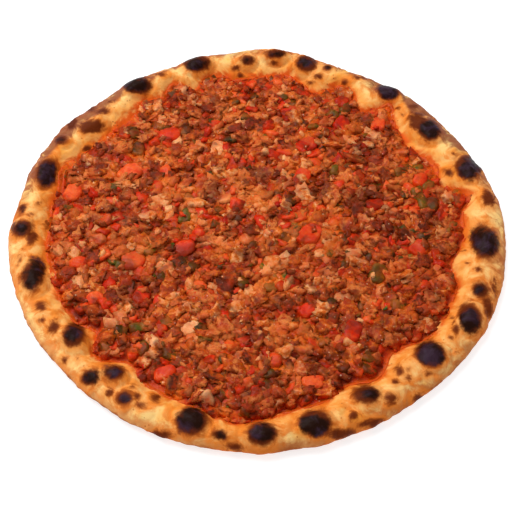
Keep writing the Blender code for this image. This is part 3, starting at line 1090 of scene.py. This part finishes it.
@dataclass
class Spread:
    """The sauce and fine mince: a sheet of lumps that have run together, in which the larger pieces lie.

    Attributes:
        form: the bread's form.
        dice_plans: the outline of each dice from above.
        top: the sheet's upper face, for the larger pieces.
        crumb_top: the same with the tops of the dice, for the crumbs.
    """

    form: BreadForm
    dice_plans: list[list[Vector]]
    round_steps: int = 1000
    spacing: float = 1.05 * MM
    level: float = 6.8 * MM
    swell: float = 0.5 * MM
    swell_waves: float = 40
    over_bread: float = 0.35 * MM
    over_inside: float = 0.4 * MM
    lumps_over_bread: float = 0.5
    thinning: float = 8.0 * MM
    lump_spacing: float = 5.6 * MM
    lump_reach: tuple = (3.2 * MM, 5.8 * MM)
    lump_rise: tuple = (0.4 * MM, 2.2 * MM)
    lump_neighbours: int = 5
    lump_shake: float = 0.42
    ripple: float = 0.9 * MM
    ripple_waves: float = 260
    grit: tuple = ((380, 0.25 * MM), (800, 0.10 * MM))
    fringe: float = 5.5 * MM
    fringe_from: float = -1 * MM
    fringe_wander: float = 0.5
    fringe_waves: float = 120
    smooth_border: float = 11 * MM
    shake: float = 0.25
    border_waves: tuple = ((18, 0.8 * MM), (55, 0.4 * MM))
    border_drop: float = 0.3 * MM
    room_border: tuple = (0.5 * MM, 6 * MM)
    pocket_margin: float = 0.2 * MM
    bare_margin: float = -1.4 * MM
    pocket_floor: float = 5.0 * MM
    underside: float = 3.6 * MM
    seed: int = 6
    dice_top: float = 9.1 * MM
    room_on_dice: float = 0.22
    top: Mesh | None = None
    crumb_top: Mesh | None = None

    def lumps(self, points: Array) -> tuple[Array, Array]:
        """Press lumps of fine mince into the sheet.

        Args:
            points: places on the sheet.

        Returns:
            The height that they add, and the tint of the lump that lies on top at each place.
        """
        draw = random.Random(self.seed)
        middles = lattice(self.lump_spacing, lambda _: 1.0, self.lump_shake, self.seed)
        tree = kdtree.KDTree(len(middles))
        for number, middle in enumerate(middles):
            tree.insert((middle.x, middle.y, 0), number)
        tree.balance()
        reach = np.array([draw.uniform(*self.lump_reach) for _ in middles])
        rise = np.array([draw.uniform(*self.lump_rise) for _ in middles])
        tint = np.array([draw.random() for _ in middles])
        flat = points * (1, 1, 0)
        bent = flat.copy()
        for axis, shift in enumerate((4.0, 5.0)):
            bent[:, axis] += self.ripple * noise_at(flat, self.ripple_waves, shift)
        found = [tree.find_n(point, self.lump_neighbours) for point in bent.tolist()]
        near = np.array([[hit[1] for hit in hits] for hits in found])
        away = np.array([[hit[2] for hit in hits] for hits in found])
        heights = rise[near] * np.clip(1 - (away / reach[near]) ** 2, 0, 1) ** 0.8
        top = heights.argmax(axis=1)
        rows = np.arange(len(points))
        return heights[rows, top], tint[near[rows, top]]

    def heights(self, points: Array, lumps: Array) -> Array:
        """Height of the sheet at places.

        Args:
            points: the places, with any height.
            lumps: the height that lumps add at each.

        Returns:
            The heights.
        """
        flat = points * (1, 1, 0)
        angle, radius = polar(points)
        rise = self.form.blister_fields(points[:, 0], points[:, 1])[0]
        bread = self.form.height(radius, angle) + rise
        level = self.level + self.swell * noise_at(flat, self.swell_waves) + lumps
        level += sum(size * noise_at(flat, scale, 2.0) for scale, size in self.grit)
        thick = smooth_step(self.form.spread(angle) - radius, 0.0, self.thinning)
        over = self.over_bread + (self.lumps_over_bread * lumps + self.over_inside) * thick
        return np.maximum(level * thick + bread * (1 - thick), bread + over)

    def near_dice(self, points: Array, margin: float) -> Array:
        """Tell which places are on a dice.

        Args:
            points: the places.
            margin: how far outside a dice a place still counts.

        Returns:
            True or False for each place.
        """
        near = np.zeros(len(points), bool)
        for plan in self.dice_plans:
            inside = np.ones(len(points), bool)
            for start, end in zip(plan, plan[1:] + plan[:1]):
                side = (end - start).normalized()
                off = side.x * (points[:, 1] - start.y) - side.y * (points[:, 0] - start.x)
                inside &= off > -margin
            near |= inside
        return near

    @staticmethod
    def ground(name: str, points: Array, faces: list, room: Array) -> Mesh:
        """Build a mesh to strew on.

        Args:
            name: its name.
            points: its points.
            faces: its faces.
            room: how much room there is at each point, from 0 to 1.

        Returns:
            The mesh.
        """
        mesh = bpy.data.meshes.new(name)
        mesh.from_pydata(points.tolist(), [], faces)
        set_mask(mesh, Mask.ROOM, room)
        return mesh

    def close(self, points: list, faces: list, edge: list[int], angle: Array) -> None:
        """Close the sheet with a border and an underside.

        Args:
            points: the sheet's points, to which the others are added.
            faces: its faces, to which the others are added.
            edge: the numbers of its border's points in order.
            angle: their angles.
        """
        steps = len(edge)
        lower = len(points)
        foot = on_circle(self.form.foot(angle), angle, np.full(steps, self.underside))
        for x, y, z in [points[number] for number in edge]:
            points.append((x, y, z - self.over_bread - self.border_drop))
        points += foot.tolist()
        hub = len(points)
        points.append((0.0, 0.0, self.underside))
        for step in range(steps):
            after = (step + 1) % steps
            first, second = lower + steps + step, lower + steps + after
            faces.append((edge[step], lower + step, lower + after, edge[after]))
            faces.append((lower + step, first, second, lower + after))
            faces.append((hub, second, first))

    def build(self) -> Object:
        """Build the sheet as a closed mesh, and keep its upper face for strewing.

        Returns:
            The sheet.
        """
        angle = np.linspace(0, 2 * np.pi, self.round_steps, endpoint=False)
        circle = on_circle(1.0, angle, 0 * angle)
        spread = self.form.spread(angle)
        for scale, size in self.border_waves:
            spread = spread + size * noise_at(circle, scale)
        outline = [Vector(point[:2]) for point in on_circle(spread, angle, 0 * angle).tolist()]
        places, triangles, corners = fill_outline(outline, self.spacing, self.shake, self.seed)

        flat = np.array([(place.x, place.y, 0.0) for place in places])
        around, out = polar(flat)
        away = self.form.spread(around) - out
        lumps, tint = self.lumps(flat)
        flat[:, 2] = self.heights(flat, lumps * smooth_step(away, 0, self.smooth_border))
        on_dice = self.near_dice(flat, self.pocket_margin)
        flat[on_dice, 2] = self.pocket_floor
        raised = flat.copy()
        raised[on_dice, 2] = self.dice_top
        faces = [tuple(triangle) for triangle in triangles]
        inland = smooth_step(away, *self.room_border)
        room = np.where(self.near_dice(flat, self.bare_margin), 0.0, inland)
        self.top = self.ground("sauce_top", flat, faces, room)
        room_above = np.where(on_dice, self.room_on_dice, room)
        self.crumb_top = self.ground("sauce_and_dice_top", raised, faces, room_above)

        points = flat.tolist()
        number_of = {corner: number for number, corner in enumerate(corners) if corner is not None}
        self.close(points, faces, [number_of[step] for step in range(self.round_steps)], angle)
        mesh = bpy.data.meshes.new("sauce")
        mesh.from_pydata(points, [], faces)
        rest = len(points) - len(tint)
        set_mask(mesh, Mask.TINT, np.concatenate((tint, np.zeros(rest))))
        ragged = 1 + self.fringe_wander * noise_at(flat * (1, 1, 0), self.fringe_waves, 7.0)
        fringe = 1 - smooth_step(away, self.fringe_from, self.fringe * ragged)
        set_mask(mesh, Mask.FRINGE, np.concatenate((fringe, np.ones(rest))))
        return place_piece("mince_sauce", mesh, ("mince_spread",), SAUCE.material())


@dataclass(frozen=True)
class Lump:
    """The form of one kind of small piece, a unit across.

    Attributes:
        stretch: length, width and thickness.
        roughness: how far its skin moves in and out.
        waves: how many dents go into its length.
        corners: 0 for a round piece, up to 1 for one with corners.
        cuts: how finely each side of the block that it starts from is divided.
        block: that block's share of a unit.
    """

    stretch: tuple = (1.3, 1.0, 0.8)
    roughness: float = 0.5
    waves: float = 1.3
    corners: float = 0.25
    cuts: int = 2
    block: float = 0.86

    def mesh(self, seed: int) -> Mesh:
        """Build one of the kind.

        Args:
            seed: makes it differ from others.

        Returns:
            The mesh.
        """
        bm = bmesh.new()
        bmesh.ops.create_cube(bm, size=1.0)
        bmesh.ops.subdivide_edges(bm, edges=bm.edges[:], cuts=self.cuts, use_grid_fill=True)
        shift = Vector((seed * 7.3, seed * 3.1, seed * 5.7))
        for vert in bm.verts:
            place = (vert.co.normalized() * 0.5).lerp(vert.co * self.block, self.corners)
            dent = noise.noise(place * self.waves * 2 + shift)
            dent += 0.5 * noise.noise(place * self.waves * 5 - shift)
            place *= 1 + self.roughness * dent
            vert.co = Vector(size * part for size, part in zip(self.stretch, place))
        mesh = bpy.data.meshes.new(f"lump_{seed}")
        bm.to_mesh(mesh)
        bm.free()
        mesh.shade_smooth()
        return mesh


class ScatterTree(NodeBuilder):
    """Geometry nodes that strew pieces over a surface, on places that the kinds of a layer share out."""

    SIZES = ("Spacing", "Share From", "Share To", "Smallest", "Largest", "Lift", "Tilt")
    OTHERS = {"Seed": "Int", "Shapes": "Collection", "Finish": "Material"}
    SOCKETS = {**dict.fromkeys(SIZES, "Float"), **OTHERS}
    DENSEST = 400000.0

    def __init__(self) -> None:
        """Build the tree."""
        self.tree = bpy.data.node_groups.new("strewn_pieces", "GeometryNodeTree")
        face = self.tree.interface
        face.new_socket(name="Surface", in_out="INPUT", socket_type="NodeSocketGeometry")
        face.new_socket(name="Pieces", in_out="OUTPUT", socket_type="NodeSocketGeometry")
        self.keys = {
            name: face.new_socket(name=name, in_out="INPUT", socket_type=f"NodeSocket{kind}").identifier
            for name, kind in self.SOCKETS.items()
        }
        self.wire()

    def draw(self, given: NodeSocket, offset: int, low: Any = 0.0, high: Any = 1.0) -> NodeSocket:
        """A random number for each piece, drawn by the given seed and an offset."""
        inputs = {2: low, 3: high, "Seed": self.join(given, float(offset))}
        return self.add("FunctionNodeRandomValue", inputs, data_type="FLOAT").outputs[1]

    def wire(self) -> None:
        """Link the tree from the surface to the plain mesh."""
        given = self.tree.nodes.new("NodeGroupInput").outputs
        seed, tilt = given["Seed"], given["Tilt"]
        room = self.add("GeometryNodeInputNamedAttribute", {"Name": Mask.ROOM.value}, data_type="FLOAT")
        spread = {
            "Mesh": given["Surface"],
            "Distance Min": given["Spacing"],
            "Density Max": self.DENSEST,
            "Density Factor": room.outputs["Attribute"],
            "Seed": seed,
        }
        spots = self.add("GeometryNodeDistributePointsOnFaces", spread, distribute_method="POISSON")
        lift = self.add("ShaderNodeCombineXYZ", {"Z": given["Lift"]}).outputs[0]
        place = {"Geometry": spots.outputs["Points"], "Offset": lift}
        raised = self.add("GeometryNodeSetPosition", place).outputs[0]

        lot = self.draw(seed, 1)
        ends = (("GREATER_EQUAL", given["Share From"]), ("LESS_THAN", given["Share To"]))
        inside = {
            number: self.add("FunctionNodeCompare", {0: lot, 1: end}, operation=test).outputs[0]
            for number, (test, end) in enumerate(ends)
        }
        chosen = self.add("FunctionNodeBooleanMath", inside, operation="AND").outputs[0]
        down = self.product(tilt, -1.0)
        angles = {
            "X": self.draw(seed, 2, down, tilt),
            "Y": self.draw(seed, 3, down, tilt),
            "Z": self.draw(seed, 4, 0.0, math.tau),
        }
        turn = self.add("ShaderNodeCombineXYZ", angles).outputs[0]
        forms = {"Collection": given["Shapes"], "Separate Children": True, "Reset Children": True}
        pieces = {
            "Points": raised,
            "Selection": chosen,
            "Instance": self.add("GeometryNodeCollectionInfo", forms).outputs[0],
            "Pick Instance": True,
            "Rotation": turn,
            "Scale": self.draw(seed, 5, given["Smallest"], given["Largest"]),
        }
        placed = self.add("GeometryNodeInstanceOnPoints", pieces).outputs[0]
        tint = {"Geometry": placed, "Name": Mask.TINT.value, "Value": self.draw(seed, 6)}
        tinted = self.add("GeometryNodeStoreNamedAttribute", tint, data_type="FLOAT", domain="INSTANCE")
        real = self.add("GeometryNodeRealizeInstances", {"Geometry": tinted.outputs[0]}).outputs[0]
        dress = {"Geometry": real, "Material": given["Finish"]}
        dressed = self.add("GeometryNodeSetMaterial", dress).outputs[0]
        self.tree.links.new(dressed, self.tree.nodes.new("NodeGroupOutput").inputs[0])


@dataclass(frozen=True)
class Strewing:
    """One kind of small piece strewn over the sauce.

    Attributes:
        name: the piece's name.
        slot: the record's slot; not used.
        finish: how the pieces look.
        lump: their form.
        spacing: least distance between the pieces of the layer.
        seed: the layer's seed.
        share: the part of the layer's places that this kind takes, from and to.
        size: least and greatest size.
        lift: height of their middles over the sauce.
        tilt: how far they lean, in radians.
        variants: how many forms there are.
        lowest: the height below which a piece is cut flat, inside the sauce.
    """

    name: str
    slot: str
    finish: PieceFinish
    lump: Lump
    spacing: float
    seed: int
    share: tuple
    size: tuple
    lift: float = -0.3 * MM
    tilt: float = 0.55
    variants: int = 8
    lowest: float = 4.6 * MM

    def build(self, tree: ScatterTree, surface: Mesh) -> Object:
        """Strew the kind over a surface.

        Args:
            tree: the geometry nodes.
            surface: the surface's mesh.

        Returns:
            The piece.
        """
        shapes = bpy.data.collections.new(f"{self.name}_shapes")
        for number in range(self.variants):
            mesh = self.lump.mesh(10 * self.seed + number)
            shapes.objects.link(bpy.data.objects.new(f"{self.name}_shape_{number}", mesh))
        host = bpy.data.objects.new(f"{self.name}_host", surface)
        bpy.context.scene.collection.objects.link(host)
        modifier = host.modifiers.new("strew", "NODES")
        modifier.node_group = tree.tree
        values = {
            "Spacing": self.spacing,
            "Seed": self.seed,
            "Share From": self.share[0],
            "Share To": self.share[1],
            "Smallest": self.size[0],
            "Largest": self.size[1],
            "Lift": self.lift,
            "Tilt": self.tilt,
            "Shapes": shapes,
            "Finish": self.finish.material(),
        }
        for name, value in values.items():
            modifier[tree.keys[name]] = value
        graph = bpy.context.evaluated_depsgraph_get()
        mesh = bpy.data.meshes.new_from_object(host.evaluated_get(graph))
        host.modifiers.remove(modifier)
        bpy.data.objects.remove(host)
        for shape in list(shapes.objects):
            bpy.data.objects.remove(shape)
        bpy.data.collections.remove(shapes)
        for vert in mesh.vertices:
            vert.co.z = max(vert.co.z, self.lowest)
        return place_piece(self.name, mesh)


def layer(common: dict[str, float], *kinds: tuple) -> tuple[Strewing, ...]:
    """Set up the kinds of one layer, which share out its places between them.

    Args:
        common: what all kinds of the layer have in common.
        *kinds: for each kind its name, slot, finish, form, the end of its share of the places, and its
            least and greatest size in mm.

    Returns:
        The kinds.
    """
    made = []
    start = 0.0
    for name, slot, finish, lump, end, smallest, largest in kinds:
        size = (smallest * MM, largest * MM)
        made.append(Strewing(name, slot, finish, lump, share=(start, end), size=size, **common))
        start = end
    return tuple(made)


TORN = Lump((1.4, 1.05, 0.6), 0.75, 1.6, 0.45, 3)
CUT = Lump((1.25, 0.95, 0.55), 0.5, 1.3, 0.55)
CRUMB = Lump((1.45, 0.95, 0.65), 0.75, 1.5, 0.4)
LEAF = Lump((1.3, 1.0, 0.14), 0.5, 2.2, 0.0)
CHUNKS = layer(
    {"spacing": 5.6 * MM, "seed": 3, "lift": -0.8 * MM, "tilt": 0.45},
    ("mince_chunks", "mince", MINCE, TORN, 0.53, 5.5, 9.5),
    ("tomato_bits", "tomato", TOMATO, CUT, 0.73, 5.0, 8.4),
    ("onion_bits", "onion", ONION, CUT, 0.87, 4.5, 8.4),
    ("pepper_bits", "pepper", PEPPER, CUT, 1.0, 5.0, 8.4),
)
CRUMBS = layer(
    {"spacing": 4.8 * MM, "seed": 8, "lift": -0.2 * MM, "tilt": 0.6},
    ("mince_crumbs", "mince", MINCE, CRUMB, 0.7, 3.0, 6.2),
    ("onion_crumbs", "onion", ONION, CRUMB, 0.79, 2.5, 5.0),
    ("tomato_crumbs", "tomato", TOMATO, CRUMB, 0.91, 2.6, 5.5),
    ("parsley_bits", "pepper", HERB, LEAF, 1.0, 2.8, 5.6),
)


@dataclass
class Dice:
    """The larger pieces of one vegetable, cut from the solids with softer and more uneven sides.

    Attributes:
        kind: the first word of the solids' names, which is also their slot.
        finish: how they look.
        nodes: the solids by name.
    """

    kind: str
    finish: PieceFinish
    nodes: dict[str, Object]
    cuts: int = 3
    softening: float = 0.5
    uneven: float = 1.0 * MM
    waves: float = 150
    fine_waves: float = 2.4
    smoothings: int = 3
    weld: float = 0.01 * MM
    foot_height: float = 0.1 * MM

    def __post_init__(self) -> None:
        """Keep only the solids of the kind."""
        mine = sorted(name for name in self.nodes if name.startswith(self.kind))
        self.nodes = {name: self.nodes[name] for name in mine}

    def plans(self) -> list[list[Vector]]:
        """Draw the outline of each piece from above.

        Returns:
            For each piece its corners, anticlockwise.
        """
        found = []
        for node in self.nodes.values():
            low = min(vert.co.z for vert in node.data.vertices)
            foot = {
                (round(vert.co.x, 5), round(vert.co.y, 5))
                for vert in node.data.vertices
                if vert.co.z < low + self.foot_height
            }
            middle = sum((Vector(point) for point in foot), Vector((0, 0))) / len(foot)
            spokes = {point: Vector(point) - middle for point in foot}
            ordered = sorted(foot, key=lambda point: math.atan2(spokes[point].y, spokes[point].x))
            found.append([Vector(point) + BOX_MIDDLE.to_2d() for point in ordered])
        return found

    def carve(self, node: Object, number: int) -> bmesh.types.BMesh:
        """Copy a solid, divide it finely, soften its corners and dent its sides.

        Args:
            node: the solid.
            number: makes its dents differ from others.

        Returns:
            The piece.
        """
        bm = bmesh.new()
        bm.from_mesh(node.data)
        bmesh.ops.translate(bm, verts=bm.verts[:], vec=BOX_MIDDLE)
        bmesh.ops.remove_doubles(bm, verts=bm.verts[:], dist=self.weld)
        bmesh.ops.subdivide_edges(bm, edges=bm.edges[:], cuts=self.cuts, use_grid_fill=True)
        axes = {f"use_axis_{axis}": True for axis in "xyz"}
        for _ in range(self.smoothings):
            bmesh.ops.smooth_vert(bm, verts=bm.verts[:], factor=self.softening, **axes)
        bm.normal_update()
        shift = Vector((number * 0.37, number * 0.53, 0))
        moves = []
        for vert in bm.verts:
            dent = noise.noise(vert.co * self.waves + shift)
            dent += 0.5 * noise.noise(vert.co * self.fine_waves * self.waves - shift)
            moves.append(vert.normal * dent * self.uneven)
        for vert, move in zip(bm.verts, moves):
            vert.co += move
        return bm

    def build(self) -> Object:
        """Join all pieces of the kind into one mesh that replaces their solids.

        Returns:
            The piece.
        """
        whole = bmesh.new()
        tints = []
        draw = random.Random(self.kind)
        for number, node in enumerate(self.nodes.values()):
            bm = self.carve(node, number)
            part = bpy.data.meshes.new("part")
            bm.to_mesh(part)
            bm.free()
            tints += [draw.random()] * len(part.vertices)
            whole.from_mesh(part)
            bpy.data.meshes.remove(part)
        bmesh.ops.recalc_face_normals(whole, faces=whole.faces[:])
        mesh = bpy.data.meshes.new(f"{self.kind}_dice")
        whole.to_mesh(mesh)
        whole.free()
        set_mask(mesh, Mask.TINT, np.array(tints))
        finish = self.finish.material()
        return place_piece(f"{self.kind}_dice", mesh, list(self.nodes), finish)


@dataclass(frozen=True)
class Studio:
    """A pale floor, soft light from above and behind, and the camera."""

    lens: float = 80
    elevation: float = 53
    floor_size: float = 8.0
    sky: float = 0.45
    key_power: float = 16.0
    key_size: float = 1.0
    key_place: tuple = (-0.5, 0.4, 1.2)
    floor_glow: float = 0.72
    floor_tone: float = 0.5

    def build(self) -> None:
        """Set up floor, light and camera."""
        scene = bpy.context.scene
        scene.view_settings.view_transform = "Standard"
        scene.view_settings.look = "None"

        bpy.ops.mesh.primitive_plane_add(size=self.floor_size)
        floor = bpy.context.object
        floor.name = "floor"
        paint = Recipe("floor_white").finish(
            Base_Color=(self.floor_tone,) * 3,
            Roughness=0.9,
            Emission_Color=(1.0, 1.0, 1.0),
            Emission_Strength=self.floor_glow,
        )
        floor.data.materials.append(paint)

        world = bpy.data.worlds.new("soft_sky")
        world.use_nodes = True
        sky = world.node_tree.nodes["Background"].inputs
        sky["Color"].default_value = (1, 1, 1, 1)
        sky["Strength"].default_value = self.sky
        scene.world = world

        light = bpy.data.lights.new("key", "AREA")
        light.energy = self.key_power
        light.size = self.key_size
        lamp = bpy.data.objects.new("key", light)
        lamp.location = self.key_place
        lamp.rotation_euler = (-Vector(self.key_place)).to_track_quat("-Z", "Y").to_euler()
        scene.collection.objects.link(lamp)

        data = bpy.data.cameras.new("camera")
        data.lens = self.lens
        camera = bpy.data.objects.new("camera", data)
        rise = math.radians(self.elevation)
        back = Vector((0, -math.cos(rise), math.sin(rise)))
        camera.location = EYE - BOX_MIDDLE
        camera.rotation_euler = (-back).to_track_quat("-Z", "Y").to_euler()
        scene.collection.objects.link(camera)
        scene.camera = camera


def main() -> None:
    """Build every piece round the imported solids."""
    logging.basicConfig(level=logging.INFO, format="%(name)s: %(message)s")
    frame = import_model()

    form = BreadForm()
    finishes = {"tomato": TOMATO, "onion": ONION, "pepper": PEPPER}
    kinds = [Dice(kind, finish, frame["nodes"]) for kind, finish in finishes.items()]
    Crust(form).build()
    spread = Spread(form, [plan for kind in kinds for plan in kind.plans()])
    spread.build()
    for kind in kinds:
        kind.build()
    tree = ScatterTree()
    for strewing in CHUNKS:
        strewing.build(tree, spread.top)
    for strewing in CRUMBS:
        strewing.build(tree, spread.crumb_top)
    Studio().build()


if __name__ == "__main__":
    main()
